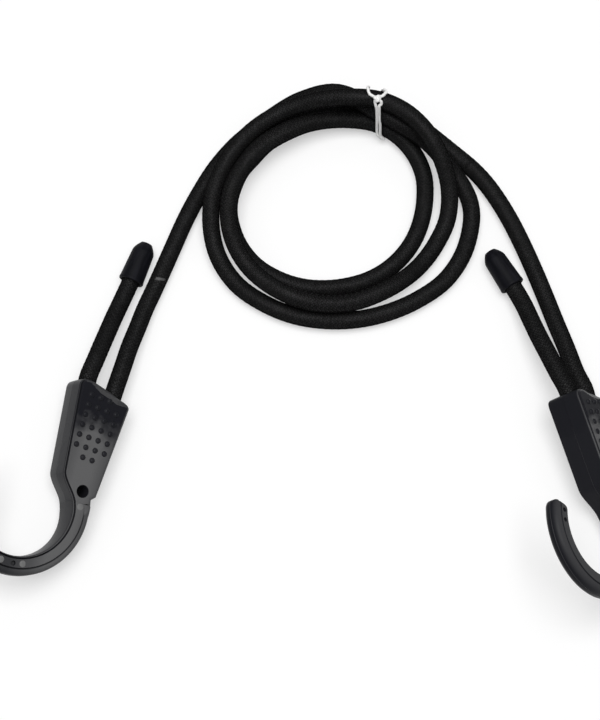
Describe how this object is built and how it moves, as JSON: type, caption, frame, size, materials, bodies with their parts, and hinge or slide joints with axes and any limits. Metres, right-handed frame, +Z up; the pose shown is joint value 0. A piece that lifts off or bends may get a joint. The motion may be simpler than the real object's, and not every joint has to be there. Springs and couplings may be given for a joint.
{
  "type": "bungee cord",
  "caption": "Elastic cord in a woven sleeve, coiled and tied with thin line, with a moulded plastic hook that slides on either end and a cap on each cut end, for strapping loads down",
  "frame": {"origin": "On the surface that the cord lies on, under the middle of the box around both hooks.", "axes": "+X runs from the left hook to the right one, +Y from the hooks to the coil, +Z up from the surface."},
  "size_m": [0.3292, 0.2717, 0.0563],
  "materials": {
    "hook_plastic": "satin moulded",
    "cap_plastic": "satin moulded",
    "sleeve": "woven",
    "elastic": "matt strands",
    "tie_line": "smooth"
  },
  "bodies": {
    "cord": {"coil_jacket": "sleeve", "coil_core": "elastic", "left_leg_jacket": "sleeve", "left_leg_core": "elastic", "right_leg_jacket": "sleeve", "right_leg_core": "elastic", "tie": "tie_line"},
    "left_hook": {"left_hook_body": "hook_plastic", "left_grip_cover": "hook_plastic", "left_turn_jacket": "sleeve", "left_turn_core": "elastic"},
    "left_tail": {"left_tail_jacket": "sleeve", "left_tail_core": "elastic", "left_end_cap": "cap_plastic"},
    "right_hook": {"right_hook_body": "hook_plastic", "right_grip_cover": "hook_plastic", "right_turn_jacket": "sleeve", "right_turn_core": "elastic"},
    "right_tail": {"right_tail_jacket": "sleeve", "right_tail_core": "elastic", "right_end_cap": "cap_plastic"}
  },
  "joints": [
    {"name": "left_hook_slide", "type": "slide", "parent": "cord", "child": "left_hook", "axis": [-0.3188, -0.9478, 0], "range_m": [0, 0.05], "deforming": ["left_leg_jacket", "left_leg_core"]},
    {"name": "left_tail_slide", "type": "slide", "parent": "left_hook", "child": "left_tail", "axis": [-0.3142, -0.924, 0.2178], "range_m": [0, 0.05], "deforming": ["left_tail_jacket", "left_tail_core"]},
    {"name": "right_hook_slide", "type": "slide", "parent": "cord", "child": "right_hook", "axis": [0.3163, -0.9487, 0], "range_m": [0, 0.05], "deforming": ["right_leg_jacket", "right_leg_core"]},
    {"name": "right_tail_slide", "type": "slide", "parent": "right_hook", "child": "right_tail", "axis": [0.3532, -0.9041, 0.2406], "range_m": [0, 0.05], "deforming": ["right_tail_jacket", "right_tail_core"]}
  ],
  "couplings": [
    {"joint": "left_tail_slide", "follows": "left_hook_slide", "ratio": 1},
    {"joint": "right_tail_slide", "follows": "right_hook_slide", "ratio": 1}
  ]
}
